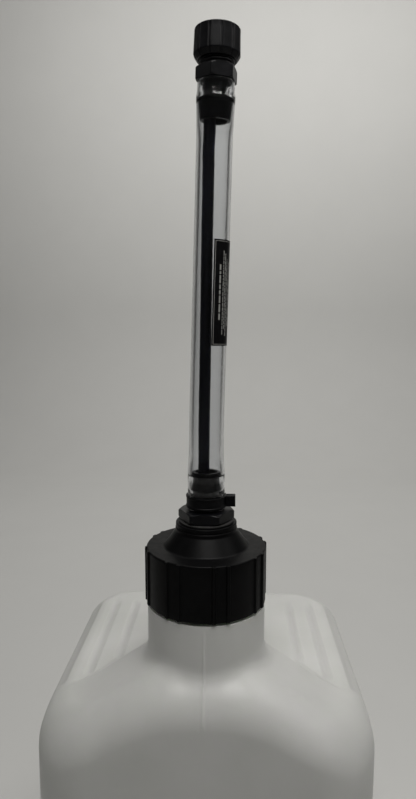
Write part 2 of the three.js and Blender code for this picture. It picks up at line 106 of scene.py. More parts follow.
# ---- mesh helpers ---------------------------------------------------------------------------------
def add_mesh(name, points, faces, material, sharp=35, weighted=True):
    """Makes a piece from millimetre points, welded, with faces out and smooth shading."""
    data = bpy.data.meshes.new(name)
    data.from_pydata([tuple(p) for p in np.asarray(points) * MM], [], faces)
    mesh = bmesh.new()
    mesh.from_mesh(data)
    bmesh.ops.remove_doubles(mesh, verts=mesh.verts, dist=2e-6)
    bmesh.ops.dissolve_degenerate(mesh, edges=mesh.edges, dist=1e-6)
    bmesh.ops.recalc_face_normals(mesh, faces=mesh.faces)
    mesh.to_mesh(data)
    mesh.free()
    data.shade_smooth()
    data.set_sharp_from_angle(angle=math.radians(sharp))
    piece = bpy.data.objects.new(name, data)
    bpy.context.scene.collection.objects.link(piece)
    data.materials.append(material)
    if weighted:
        normals = piece.modifiers.new("normals", "WEIGHTED_NORMAL")
        normals.keep_sharp = True
    return piece


def grid_faces(columns, rows, wrap_columns=True, wrap_rows=False):
    faces = []
    for i in range(columns if wrap_columns else columns - 1):
        j = (i + 1) % columns
        for k in range(rows if wrap_rows else rows - 1):
            m = (k + 1) % rows
            faces.append((i * rows + k, j * rows + k, j * rows + m, i * rows + m))
    return faces


def soften(corners, closed=True, steps=4):
    """Rounds each corner (radius, height, fillet) of a half section; a missing fillet stays sharp."""
    count = len(corners)
    points = []
    for i, corner in enumerate(corners):
        here = np.array(corner[:2], float)
        fillet = corner[2] if len(corner) > 2 else 0.0
        if not closed and i in (0, count - 1) or fillet <= 0:
            points.append(here)
            continue
        back = np.array(corners[i - 1][:2], float) - here
        ahead = np.array(corners[(i + 1) % count][:2], float) - here
        reach = min(fillet, 0.48 * np.linalg.norm(back), 0.48 * np.linalg.norm(ahead))
        start = here + back / np.linalg.norm(back) * reach
        end = here + ahead / np.linalg.norm(ahead) * reach
        for s in np.linspace(0, 1, steps + 1):
            points.append((1 - s) ** 2 * start + 2 * s * (1 - s) * here + s ** 2 * end)
    return np.array(points)


def even(count, start=0.0):
    return start + np.linspace(0, TURN, count, endpoint=False)


def spin(section, angles, shape=None, closed=True):
    """Points and faces of a section turned about Z; shape(radius, height, angle) may change the radius."""
    section = np.asarray(section)
    radius, height = section[:, 0][None, :], section[:, 1][None, :]
    angle = np.asarray(angles)[:, None]
    radius = radius + 0 * angle
    height = height + 0 * angle
    if shape is not None:
        radius = shape(radius, height, angle + 0 * radius)
    points = np.stack([radius * np.cos(angle), radius * np.sin(angle), height], axis=-1)
    faces = grid_faces(len(angles), section.shape[0], wrap_rows=closed)
    return points.reshape(-1, 3), faces


def on_neck(points):
    """From the neck axis to the part's frame."""
    return np.asarray(points) + np.array([NECK_AXIS[0], NECK_AXIS[1], 0])


def hose_frame(height):
    """Centre of the hose at a length along it, and its angle from upright."""
    into = np.clip(height - BEND_START, 0, BEND_LENGTH)
    radius = BEND_LENGTH / LEAN
    angle = into / radius
    rest = height - BEND_START - into
    x = radius * (1 - np.cos(angle)) + rest * np.sin(angle)
    z = BEND_START + radius * np.sin(angle) + rest * np.cos(angle)
    return x, z, angle


def along_hose(points):
    """Bends upright points about the neck axis on to the hose's line."""
    points = np.asarray(points)
    x, z, angle = hose_frame(points[:, 2])
    out = points[:, 0]
    bent = np.stack([x + out * np.cos(angle), points[:, 1], z - out * np.sin(angle)], axis=-1)
    return on_neck(bent)


def lean_points(points):
    """Places points whose height is measured from the start of the leaning stretch."""
    points = np.array(points, float)
    points[:, 2] += LEAN_START
    return along_hose(points)


def heading(degrees):
    """Angle about Z, from +X, of a direction measured from the front (-Y) towards +X."""
    return math.radians(degrees - 90)


def soft_min(a, b, blend):
    h = np.clip(0.5 + 0.5 * (b - a) / blend, 0, 1)
    return b * (1 - h) + a * h - blend * h * (1 - h)


def smooth(edge0, edge1, x):
    t = np.clip((x - edge0) / (edge1 - edge0), 0, 1)
    return t * t * (3 - 2 * t)


def join_parts(parts):
    """Joins (points, faces) lists into one."""
    points, faces, offset = [], [], 0
    for part_points, part_faces in parts:
        points.append(np.asarray(part_points))
        faces.extend(tuple(v + offset for v in face) for face in part_faces)
        offset += len(part_points)
    return np.concatenate(points), faces


# ---- materials --------------------------------------------------------------------------------------
class Nodes:
    """A short way to build one material's nodes."""

    def __init__(self, name):
        self.material = bpy.data.materials.new(name)
        self.material.use_nodes = True
        self.tree = self.material.node_tree
        self.shader = self.tree.nodes["Principled BSDF"]
        self.place = self.add("ShaderNodeTexCoord").outputs["Object"]

    def add(self, kind, **settings):
        made = self.tree.nodes.new(kind)
        for key, value in settings.items():
            if key in made.inputs:
                made.inputs[key].default_value = value
            else:
                setattr(made, key, value)
        return made

    def link(self, source, target):
        self.tree.links.new(source, target)

    def set(self, **values):
        for key, value in values.items():
            self.shader.inputs[key.replace("_", " ")].default_value = value

    def stretched(self, scale):
        mapping = self.add("ShaderNodeMapping")
        mapping.inputs["Scale"].default_value = scale
        self.link(self.place, mapping.inputs["Vector"])
        return mapping.outputs["Vector"]

    def noise(self, scale, detail=3.0, roughness=0.55, stretch=None):
        made = self.add("ShaderNodeTexNoise", Scale=scale, Detail=detail, Roughness=roughness)
        self.link(self.stretched(stretch) if stretch else self.place, made.inputs["Vector"])
        return made.outputs["Fac"]

    def ramp(self, source, stops):
        made = self.add("ShaderNodeValToRGB")
        elements = made.color_ramp.elements
        while len(elements) < len(stops):
            elements.new(0.5)
        for element, (position, color) in zip(elements, stops):
            element.position = position
            element.color = (*color, 1) if len(color) == 3 else color
        self.link(source, made.inputs["Fac"])
        return made.outputs["Color"]

    def spread(self, source, low, high):
        made = self.add("ShaderNodeMapRange")
        made.inputs["To Min"].default_value = low
        made.inputs["To Max"].default_value = high
        self.link(source, made.inputs["Value"])
        return made.outputs["Result"]

    def bump(self, heights):
        """Chains bumps (source, strength, distance in metres) into the shader's normal."""
        normal = None
        for source, strength, distance in heights:
            made = self.add("ShaderNodeBump", Strength=strength, Distance=distance)
            self.link(source, made.inputs["Height"])
            if normal is not None:
                self.link(normal, made.inputs["Normal"])
            normal = made.outputs["Normal"]
        self.link(normal, self.shader.inputs["Normal"])


def jug_plastic():
    """Natural polyethylene: milky, faintly mottled, with a fine orange peel."""
    n = Nodes("jug_plastic")
    cloud = n.ramp(n.noise(14, 3), [(0.3, (0.60, 0.615, 0.58)), (0.7, (0.67, 0.68, 0.65))])
    n.link(cloud, n.shader.inputs["Base Color"])
    n.link(n.spread(n.noise(90, 4), 0.30, 0.46), n.shader.inputs["Roughness"])
    n.set(Subsurface_Weight=0.55, Subsurface_Radius=(0.9, 1.0, 0.85), Subsurface_Scale=0.012, IOR=1.5)
    n.bump([(n.noise(650, 3), 0.06, 0.0004), (n.noise(45, 2), 0.08, 0.002)])
    return n.material


def cap_plastic():
    """Black moulded cap with a fine spark-eroded grain and rubbed spots."""
    n = Nodes("cap_plastic")
    wear = n.noise(60, 5, 0.7)
    n.link(n.ramp(wear, [(0.35, (0.0015, 0.0015, 0.0017)), (0.8, (0.0042, 0.0042, 0.0045))]),
           n.shader.inputs["Base Color"])
    n.link(n.spread(n.noise(220, 4), 0.30, 0.52), n.shader.inputs["Roughness"])
    n.set(IOR=1.5, Specular_IOR_Level=0.1)
    n.bump([(n.noise(2600, 2), 0.12, 0.0002), (n.noise(120, 2), 0.05, 0.0008)])
    return n.material


def fitting_plastic():
    """Glossy black nylon fittings with flow marks."""
    n = Nodes("fitting_plastic")
    n.link(n.ramp(n.noise(90, 4), [(0.3, (0.0016, 0.0017, 0.0022)), (0.8, (0.0045, 0.0046, 0.0058))]),
           n.shader.inputs["Base Color"])
    n.link(n.spread(n.noise(180, 4), 0.26, 0.42), n.shader.inputs["Roughness"])
    n.set(IOR=1.53, Specular_IOR_Level=0.2)
    n.bump([(n.noise(900, 2), 0.06, 0.0002), (n.noise(70, 3, stretch=(1, 1, 0.3)), 0.08, 0.0008)])
    return n.material


def seal_rubber():
    n = Nodes("seal_rubber")
    n.link(n.ramp(n.noise(300, 4), [(0.3, (0.010, 0.010, 0.010)), (0.8, (0.028, 0.027, 0.026))]),
           n.shader.inputs["Base Color"])
    n.link(n.spread(n.noise(500, 3), 0.62, 0.85), n.shader.inputs["Roughness"])
    n.bump([(n.noise(1800, 3), 0.2, 0.0002)])
    return n.material


def clear_vinyl():
    """Clear hose wall: slightly grey, with extrusion streaks and a soft ripple."""
    n = Nodes("clear_vinyl")
    n.set(Base_Color=(0.875, 0.885, 0.90, 1), Transmission_Weight=1.0, IOR=1.48, Roughness=0.09)
    n.bump([(n.noise(260, 2, stretch=(1, 1, 0.15)), 0.10, 0.0006), (n.noise(420, 2), 0.08, 0.0004)])
    return n.material


def vent_plastic():
    n = Nodes("vent_plastic")
    n.link(n.ramp(n.noise(80, 3), [(0.3, (0.0015, 0.0018, 0.0055)), (0.8, (0.0035, 0.004, 0.012))]),
           n.shader.inputs["Base Color"])
    n.link(n.spread(n.noise(260, 3, stretch=(1, 1, 0.1)), 0.28, 0.5), n.shader.inputs["Roughness"])
    n.set(Specular_IOR_Level=0.3)
    n.bump([(n.noise(500, 2, stretch=(1, 1, 0.08)), 0.15, 0.0003)])
    return n.material


def clamp_nylon():
    n = Nodes("clamp_nylon")
    n.link(n.ramp(n.noise(150, 4), [(0.3, (0.002, 0.002, 0.0023)), (0.8, (0.0055, 0.0055, 0.006))]),
           n.shader.inputs["Base Color"])
    n.link(n.spread(n.noise(300, 3), 0.32, 0.55), n.shader.inputs["Roughness"])
    n.set(Specular_IOR_Level=0.12)
    n.bump([(n.noise(1500, 2), 0.12, 0.0002)])
    return n.material


def label_film():
    n = Nodes("label_film")
    n.link(n.ramp(n.noise(400, 4), [(0.3, (0.002, 0.002, 0.0023)), (0.8, (0.0055, 0.0055, 0.006))]),
           n.shader.inputs["Base Color"])
    n.link(n.spread(n.noise(160, 4), 0.30, 0.46), n.shader.inputs["Roughness"])
    n.set(Specular_IOR_Level=0.16)
    n.bump([(n.noise(240, 3), 0.12, 0.0003)])
    return n.material


def label_ink():
    n = Nodes("label_ink")
    n.link(n.ramp(n.noise(700, 4), [(0.3, (0.20, 0.20, 0.19)), (0.8, (0.42, 0.42, 0.40))]),
           n.shader.inputs["Base Color"])
    n.link(n.spread(n.noise(300, 3), 0.4, 0.6), n.shader.inputs["Roughness"])
    return n.material


def stage_paint(name, color, roughness):
    n = Nodes(name)
    low = tuple(0.985 * c for c in color)
    n.link(n.ramp(n.noise(6, 3), [(0.35, low), (0.65, color)]), n.shader.inputs["Base Color"])
    n.set(Roughness=roughness)
    return n.material


# ---- camera, light and stage ---------------------------------------------------------------------------
EYE_DISTANCE = 433.0
EYE_HEIGHT = 626.0
EYE_SWING = math.radians(2.2)
EYE_ASIDE = 1.3
PITCH = math.radians(7.0)
FOCAL_LENGTH = 27.03


def make_camera():
    data = bpy.data.cameras.new("camera")
    data.sensor_width = 36
    data.lens = FOCAL_LENGTH
    data.clip_start = 0.01
    data.clip_end = 20
    camera = bpy.data.objects.new("camera", data)
    back = np.array([math.sin(EYE_SWING), -math.cos(EYE_SWING), 0])
    right = np.array([math.cos(EYE_SWING), math.sin(EYE_SWING), 0])
    eye = np.array([NECK_AXIS[0], NECK_AXIS[1], EYE_HEIGHT]) + EYE_DISTANCE * back + EYE_ASIDE * right
    camera.location = Vector(eye * MM)
    look = Vector(-back * math.cos(PITCH) + np.array([0, 0, -math.sin(PITCH)]))
    camera.rotation_euler = look.to_track_quat("-Z", "Y").to_euler()
    bpy.context.scene.collection.objects.link(camera)
    bpy.context.scene.camera = camera


def set_view():
    """Plain sRGB, so that the blacks stay as deep as the plastic's own colour."""
    view = bpy.context.scene.view_settings
    view.view_transform = "Standard"
    view.look = "None"


def area_light(name, place, aim, size, power, color=(1, 1, 1)):
    data = bpy.data.lights.new(name, "AREA")
    data.shape = "RECTANGLE"
    data.size, data.size_y = size
    data.energy = power
    data.color = color
    light = bpy.data.objects.new(name, data)
    light.location = place
    light.rotation_euler = (Vector(aim) - Vector(place)).to_track_quat("-Z", "Y").to_euler()
    bpy.context.scene.collection.objects.link(light)


def make_lights():
    middle = (0, -0.05, 0.55)
    area_light("ceiling_front", (0.10, -0.50, 1.45), (0, -0.08, 0.4), (0.7, 0.4), 8.8, (1.0, 0.985, 0.96))
    area_light("ceiling_right", (0.95, -0.1, 1.5), middle, (0.45, 0.45), 2.6, (1.0, 0.985, 0.96))
    area_light("ceiling_left", (-1.1, 0.1, 1.6), middle, (0.45, 0.45), 0.7, (1.0, 0.985, 0.96))
    area_light("wall_wash", (0.3, 1.1, 2.4), (0.2, 2.6, 0.9), (2.6, 0.5), 30, (1.0, 0.985, 0.955))
    world = bpy.data.worlds.new("studio")
    world.use_nodes = True
    world.node_tree.nodes["Background"].inputs["Color"].default_value = (0.80, 0.80, 0.78, 1)
    world.node_tree.nodes["Background"].inputs["Strength"].default_value = 0.03
    bpy.context.scene.world = world


WALL_AWAY = 2600.0
STAGE_HALF = 4500.0
STAGE_BEND = 700.0


def make_floor():
    """Pale floor that sweeps up into a plain wall well behind the object."""
    side = [(-STAGE_HALF, 0.0)]
    for a in np.linspace(0, math.pi / 2, 13):
        side.append((WALL_AWAY - STAGE_BEND * (1 - math.sin(a)), STAGE_BEND * (1 - math.cos(a))))
    side.append((WALL_AWAY, STAGE_HALF))
    points = [(x, y, z) for x in (-STAGE_HALF, STAGE_HALF) for y, z in side]
    faces = [(i, len(side) + i, len(side) + i + 1, i + 1) for i in range(len(side) - 1)]
    paint = stage_paint("floor_paint", (0.70, 0.70, 0.685), 0.7)
    floor = add_mesh("floor", points, faces, paint, weighted=False)


# ---- jug -----------------------------------------------------------------------------------------------
JUG_COLUMNS = 560
# Three flutes each side: distance from the middle, and where they begin behind the crease.
FLUTES = ((77.0, -19.0), (97.0, -43.0), (117.0, -54.0))
FLUTE_BACK = 92.0
FLUTE_DEPTH = 1.3
FLUTE_HALF = 4.4
# Raised front of the shoulder: its ridge falls away to both sides, and a ramp behind the crease
# leads down to the deck.
RIDGE = 40.0
RIDGE_FROM = 16.0
RIDGE_TO = 118.0
RAMP_RATIO = 2.6
RAMP_SHORT = 8
RAMP_LONG = 40
RAMP_POWER = 1.6
# How sharply the fillet round the boss and the raised front meet.
JOIN = 4
# The edge's extra radius at the front wall, and where it begins and is complete.
FRONT_SOFT = 12.0
FRONT_SOFT_FROM = -60
FRONT_SOFT_TO = -112
CREASE = -50.0
CREASE_BACK = -12.5
CREASE_FROM = 60.0
CREASE_SPAN = 52.0
SEAM_HEIGHT = 0.5
SEAM_HALF = 1.0


def inset_of(x, y):
    """Distance in from the rounded square outline."""
    core = HALF - CORNER
    qx, qy = np.abs(x) - core, np.abs(y) - core
    outside = np.hypot(np.maximum(qx, 0), np.maximum(qy, 0))
    return CORNER - (outside + np.minimum(np.maximum(qx, qy), 0))


def ray_reach(angles, inset):
    """Distance from the neck axis to the outline, moved in by inset, along each angle."""
    low = np.zeros_like(angles)
    high = np.full_like(angles, 4 * HALF)
    for _ in range(44):
        mid = (low + high) / 2
        x, y = mid * np.cos(angles), NECK_AXIS[1] + mid * np.sin(angles)
        inside = inset_of(x, y) > inset
        low = np.where(inside, mid, low)
        high = np.where(inside, high, mid)
    return (low + high) / 2


def jug_angles():
    """Headings of points spread evenly round the outline, half of them even about the neck."""
    fine = even(7200)
    reach = ray_reach(fine, 0)
    x, y = reach * np.cos(fine), reach * np.sin(fine)
    step = np.hypot(np.diff(x, append=x[0]), np.diff(y, append=y[0]))
    walked = np.cumsum(step / step.sum() + 1 / len(fine)) / 2
    shares = np.linspace(0, 1, JUG_COLUMNS, endpoint=False)
    spread = np.interp(shares, np.concatenate([[0], walked[:-1]]), fine)
    kept = []
    for side in (math.pi / 2, 3 * math.pi / 2):
        away = ray_reach(np.array([side]), 0)[0]
        steps = np.arctan(np.linspace(-3.2, 3.2, 17) * SEAM_HALF / away)
        spread = spread[np.abs(spread - side) > 4.0 * SEAM_HALF / away]
        kept.append(side + steps)
    return np.sort(np.concatenate([spread, *kept]))


def flare_rise(radius, flare, inset):
    """Height above the inset deck of a fillet that rises to the neck boss."""
    away = np.clip(BOSS + flare - radius, 0, flare + inset)
    return flare + inset - np.sqrt((flare + inset) ** 2 - away ** 2)


def shoulder_rise(x, y, inset):
    """Height of the shoulder above the inset deck, before its edge is rounded."""
    around = flare_rise(np.hypot(x, y - NECK_AXIS[1]), FLARE, inset)
    ridge = RIDGE * (1 - smooth(RIDGE_FROM, RIDGE_TO, np.abs(x)))
    behind = y - CREASE - CREASE_BACK * np.clip((np.abs(x) - CREASE_FROM) / CREASE_SPAN, 0, 1)
    ramp = np.clip(RAMP_RATIO * ridge, RAMP_SHORT, RAMP_LONG)
    raised = ridge * (1 - np.clip(behind / ramp, 0, 1)) ** RAMP_POWER
    return (around ** JOIN + raised ** JOIN) ** (1 / JOIN)


def flute_depth(x, y):
    depth = 0
    for place, front in FLUTES:
        across = np.clip(1 - ((np.abs(x) - place) / FLUTE_HALF) ** 2, 0, 1) ** 1.3
        begun = smooth(front - 4, front + 3, y)
        ended = smooth(FLUTE_BACK - 16, FLUTE_BACK, y)
        depth = depth + across * begun * (1 - ended)
    return FLUTE_DEPTH * depth


def parting_line(x, y, z):
    """Fine raised seam where the two mould halves meet, on the plane x = 0."""
    return SEAM_HEIGHT * np.exp(-(x / SEAM_HALF) ** 2) * (1 - smooth(LEDGE - 12, LEDGE - 2, z))


def shoulder(radius, angles, inset):
    """Height of the deck, its flutes, the flare and the rounded edge, at a radius from the neck axis."""
    x, y = radius * np.cos(angles), NECK_AXIS[1] + radius * np.sin(angles)
    edge = TOP_EDGE - inset + FRONT_SOFT * (1 - smooth(FRONT_SOFT_TO, FRONT_SOFT_FROM, y))
    within = np.clip(inset_of(x, y) - inset, 0, edge)
    drop = edge - np.sqrt(edge ** 2 - (edge - within) ** 2)
    relief = flute_depth(x, y) if inset == 0 else 0
    return DECK - inset + shoulder_rise(x, y, inset) - drop - relief


# Rounded step from the raised panel of the base down to its foot: distance in, and height below the panel.
PANEL_STEP = ((40, 0), (37, 0.5), (35.5, 2), (34.5, 2.9))
FOOT_INSET = 33.5


def jug_rows(angles, inset, floor, detail):
    """Rows (radius, height) for each heading, from the middle of the base to the foot of the neck."""
    rows = []
    zero = np.zeros_like(angles)
    base = BASE_EDGE - inset
    rows.append((zero, zero + floor))
    bottom = floor
    if inset == 0:
        bottom = 0.0
        for step_in, below in PANEL_STEP:
            rows.append((ray_reach(angles, step_in), zero + floor - below))
        rows.append((ray_reach(angles, FOOT_INSET), zero + bottom))
    for a in np.linspace(0, math.pi / 2, detail // 8 + 3):
        out = inset + base * (1 - math.sin(a))
        rows.append((ray_reach(angles, out), bottom + zero + base * (1 - math.cos(a))))
    reach = ray_reach(angles, inset)
    top = shoulder(reach, angles, inset)
    for t in np.linspace(0, 1, detail // 6 + 3)[1:]:
        rows.append((reach, (bottom + base) * (1 - t) + top * t))
    ledge = LEDGE - inset
    foot = BOSS - inset
    for t in (np.arange(1, detail + 1) / detail) ** 1.25:
        radius = reach + (foot - reach) * t
        rows.append((radius, np.minimum(shoulder(radius, angles, inset), ledge)))
    below = rows[-1][1]
    for t in np.linspace(0, 1, detail // 5 + 2)[1:]:
        rows.append((zero + foot, below + (ledge - below) * t))
    return rows


def neck_thread(angles, height, start, pitch, turns, width):
    """How far a right-hand thread stands out, from 0 to 1, with tapering ends."""
    turn = (height - start) / pitch
    phase = turn - angles / TURN
    nearest = np.round(phase)
    lift = np.clip(1 - np.abs((phase - nearest) * pitch) / (width / 2), 0, 1)
    along = nearest + angles / TURN
    ends = smooth(0, 0.08, along) * (1 - smooth(turns - 0.08, turns, along))
    return smooth(0, 0.75, lift) * ends


OUTER_DETAIL = 110
INNER_DETAIL = 36
THREAD_ROWS = 76
THREAD_START = 434.5
THREAD_TURNS = 1.5
THREAD_WIDTH = 3.4
THREAD_RIDGE = 2.0
# Rows of the neck and of the base that the parting line leaves alone, and how far it reaches either side.
NECK_ROWS = 84
BASE_ROWS = 12
SEAM_REACH = 3


def jug_shell():
    """Outer and inner skins of the jug as one closed surface, joined over the neck's lip."""
    angles = jug_angles()
    ring = np.zeros_like(angles)
    rows = jug_rows(angles, 0, WALL, OUTER_DETAIL)
    rows.append((ring + NECK_OUTER + 0.8, ring + LEDGE))
    rows.append((ring + NECK_OUTER + 0.2, ring + LEDGE + 0.25))
    for height in np.linspace(LEDGE + 0.9, LIP - 1.2, THREAD_ROWS):
        thread = neck_thread(angles, height, THREAD_START, NECK_PITCH, THREAD_TURNS, THREAD_WIDTH)
        out = THREAD_RIDGE * thread
        rows.append((NECK_OUTER + out, ring + height))
    for radius, height in ((0, -0.6), (-0.35, -0.15), (-0.9, 0), (-2.1, 0), (-2.75, -0.2), (-3, -0.8)):
        rows.append((ring + NECK_OUTER + radius, ring + LIP + height))
    inner = jug_rows(angles, WALL, 2 * WALL, INNER_DETAIL)
    rows.append((ring + NECK_INNER, ring + LEDGE + 8))
    rows.append((ring + NECK_INNER, ring + LEDGE - WALL))
    rows.extend(reversed(inner))
    places = [(r * np.cos(angles), NECK_AXIS[1] + r * np.sin(angles), z) for r, z in rows]
    columns = np.stack([np.stack(place, -1) for place in places], 1)
    outer_rows = len(rows) - len(inner) - 2
    seam = parting_line(columns[:, :, 0], columns[:, :, 1], columns[:, :, 2])
    front_or_back = np.abs(columns[:, :, 0]) < SEAM_REACH
    push = np.where(front_or_back, seam, 0) * np.sign(columns[:, :, 1] - NECK_AXIS[1])
    push[:, outer_rows - NECK_ROWS:] = 0
    push[:, :BASE_ROWS] = 0
    columns[:, :, 1] += push
    np.clip(columns[:, :, 1], -HALF, HALF, out=columns[:, :, 1])
    return columns.reshape(-1, 3), grid_faces(len(angles), len(rows))


HANDLE_START = -30.0
HANDLE_TOP = 396.0
HANDLE_BEND = 34.0
HANDLE_END = 84.0
HANDLE_FOOT = 343.2
HANDLE_WIDE = 14
HANDLE_TALL = 11
# Lengths over which the grip's two ends spread.
SPREAD_BOSS = 16
SPREAD_DECK = 9
# Below 1, this squares the grip's oval section a little.
OVAL_POWER = 0.85


def handle_path(count):
    """Centre line of the grip: back from the boss, round a bend, down to the deck."""
    level = HANDLE_END - HANDLE_BEND - HANDLE_START
    arc = HANDLE_BEND * math.pi / 2
    drop = HANDLE_TOP - HANDLE_BEND - HANDLE_FOOT
    total = level + arc + drop
    path = []
    for s in np.linspace(0, total, count):
        if s < level:
            path.append((HANDLE_START + s, HANDLE_TOP, 0.0))
        elif s < level + arc:
            a = (s - level) / HANDLE_BEND
            path.append((HANDLE_END - HANDLE_BEND + HANDLE_BEND * math.sin(a),
                         HANDLE_TOP - HANDLE_BEND + HANDLE_BEND * math.cos(a), a))
        else:
            path.append((HANDLE_END, HANDLE_TOP - HANDLE_BEND - (s - level - arc), math.pi / 2))
    return path, total


def handle_bar():
    """Grip with an oval section that spreads like a trumpet where it meets the jug."""
    sides = 56
    path, total = handle_path(90)
    points = []
    for i, (y, z, turn) in enumerate(path):
        s = total * i / (len(path) - 1)
        to_boss = max(SPREAD_BOSS - s, 0) / SPREAD_BOSS
        to_deck = max(SPREAD_DECK - (total - s), 0) / SPREAD_DECK
        grow = 9 * to_boss ** 2 + 8 * (1 - math.sqrt(max(1 - to_deck ** 2, 0)))
        wide, tall = HANDLE_WIDE + grow, HANDLE_TALL + grow
        for a in even(sides):
            across = wide * abs(math.cos(a)) ** OVAL_POWER * math.copysign(1, math.cos(a))
            up = tall * abs(math.sin(a)) ** OVAL_POWER * math.copysign(1, math.sin(a))
            points.append((across, y + up * math.sin(turn), z + up * math.cos(turn)))
    faces = grid_faces(len(path), sides, wrap_columns=False, wrap_rows=True)
    last = (len(path) - 1) * sides
    faces.append(tuple(range(sides)))
    faces.append(tuple(last + i for i in reversed(range(sides))))
    return np.array(points), faces


def merge_solid(piece, other):
    """Joins a piece with another and keeps the result as its mesh."""
    merge = piece.modifiers.new("merge", "BOOLEAN")
    merge.operation = "UNION"
    merge.solver = "EXACT"
    merge.object = other
    bpy.context.view_layer.objects.active = piece
    piece.select_set(True)
    bpy.ops.object.modifier_apply(modifier=merge.name)
    bpy.data.objects.remove(other)


def make_jug():
    material = jug_plastic()
    jug = add_mesh("jug", *jug_shell(), material, sharp=60, weighted=False)
    handle = add_mesh("jug_handle", *handle_bar(), material, sharp=60, weighted=False)
    merge_solid(jug, handle)
    jug.data.shade_smooth()
    jug.data.set_sharp_from_angle(angle=math.radians(50))
    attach(jug, "jug")
    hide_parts("jug_body")


# ---- cap ----------------------------------------------------------------------------------------------
CAP_BOTTOM = CAP_LOW[2]
CAP_RIM = CAP_HIGH[2]
CAP_TOP = CAP_BOTTOM + 41.0
CAP_OUTER = 44.5
CAP_BORE = 42.6
RIB_HEADINGS = [15.5 + 45 * pair + side * 6.5 for pair in range(8) for side in (-1, 1)]
RIB_HALF = 1.25
RIB_PROUD = 1.25


def rib_angles():
    """Even headings with extra ones at the flanks of each rib."""
    angles = set(np.round(even(144), 6))
    for rib in RIB_HEADINGS:
        centre = heading(rib) % TURN
        for offset in (-1.75, -1.45, -1.2, -0.9, 0, 0.9, 1.2, 1.45, 1.75):
            angles.add(round((centre + offset * RIB_HALF / 1.2 / CAP_OUTER) % TURN, 6))
    kept = sorted(angles)
    return np.array([a for a, b in zip(kept, kept[1:] + [kept[0] + TURN]) if b - a > 1e-4])


def rib_lift(angle):
    lift = 0
    for rib in RIB_HEADINGS:
        away = np.abs((angle - heading(rib) + math.pi) % TURN - math.pi) * CAP_OUTER
        lift = np.maximum(lift, 1 - smooth(RIB_HALF - 0.35, RIB_HALF + 0.35, away))
    return lift


def make_cap():
    ceiling = CAP_TOP - 3.5
    hole = 16.2
    corners = [
        (CAP_BORE, CAP_BOTTOM, 0.5), (CAP_OUTER, CAP_BOTTOM, 0.7), (CAP_OUTER, CAP_TOP, 1.3),
        (31.4, CAP_TOP, 1.2), (22.9, CAP_RIM - 6.2, 0.8),
        (22.9, CAP_RIM - 4.0, 0.3), (22.2, CAP_RIM - 3.7, 0.2), (22.2, CAP_RIM - 3.2, 0.2),
        (22.6, CAP_RIM - 2.9, 0.3), (22.6, CAP_RIM, 0.7), (hole, CAP_RIM, 0.3),
        (hole, CAP_RIM - 8), (19.5, CAP_RIM - 8, 0.5), (28, ceiling, 0.6), (CAP_BORE, ceiling, 0.5),
    ]
    section = soften(corners)
    wall = [np.array([CAP_OUTER, z]) for z in np.linspace(CAP_BOTTOM + 1.4, CAP_TOP - 3, 8)]
    at = next(i for i, p in enumerate(section) if p[0] > CAP_OUTER - 0.01 and p[1] > CAP_BOTTOM + 0.5)
    section = np.concatenate([section[:at + 1], wall, section[at + 1:]])

    def ribbed(radius, height, angle):
        side = smooth(CAP_OUTER - 1.6, CAP_OUTER - 0.4, radius)
        return radius + RIB_PROUD * rib_lift(angle) * side

    points, faces = spin(section, rib_angles(), ribbed)
    cap = add_mesh("screw_cap_shell", on_neck(points), faces, cap_plastic())
    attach(cap, "pour_cap")
    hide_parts("screw_cap")


def plain_ring(name, node, body, material, inner, outer, low, high, fillet, place):
    corners = [(inner, low, fillet), (outer, low, fillet), (outer, high, fillet), (inner, high, fillet)]
    points, faces = spin(soften(corners), even(128))
    piece = add_mesh(name, place(points), faces, material)
    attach(piece, body)
    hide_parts(node)


# ---- fittings -------------------------------------------------------------------------------------------
def hex_shape(inradius, phase, low, high, chamfer, corner_radius):
    """Radius of a chamfered hexagon at a height and angle, for rows marked by a radius above its flats."""
    def shape(radius, height, angle):
        local = (angle - heading(phase)) % (TURN / 6) - TURN / 12
        flat = inradius / np.cos(local)
        other = inradius / np.cos(np.minimum(TURN / 6 - np.abs(local), 1.4))
        flat = soft_min(flat, other, 2 * (corner_radius - inradius) * 0.12 + 0.1)
        from_end = np.minimum(height - low, high - height)
        cone = corner_radius - chamfer + from_end * 1.7
        hexagon = soft_min(flat, cone, 0.35)
        return np.where(radius > inradius - 0.5, hexagon, radius)
    return shape


def hex_rows(inradius, low, high):
    """Rows up the outside of a hexagon, closer together at its ends."""
    t = 0.5 - 0.5 * np.cos(np.linspace(0, math.pi, 17))
    return [(inradius, z) for z in low + (high - low) * t]


ADAPTER_HEX_LOW = WASHER_HIGH[2] + 0.3
ADAPTER_HEX_HIGH = HOSE_LOW[2] - 0.4
ADAPTER_CORNER = 21.0
ADAPTER_PHASE = 28.0
ADAPTER_BORE = 8.0
BARB_ROOT = 9.9
BARB_RIDGE = 11.1
BARB_TIP = 10.3
BARB_BASES = (497.0, 506.0, 516.5)


def barb_rows():
    rows = []
    for base in BARB_BASES:
        end = min(base + 5.5, BEND_START)
        rows += [(BARB_ROOT, base, 0.3), (BARB_RIDGE, base + 0.3, 0.25), (BARB_RIDGE, base + 0.9, 0.4)]
        rows.append((BARB_ROOT if end < BEND_START else BARB_TIP, end, 0.4))
    return rows


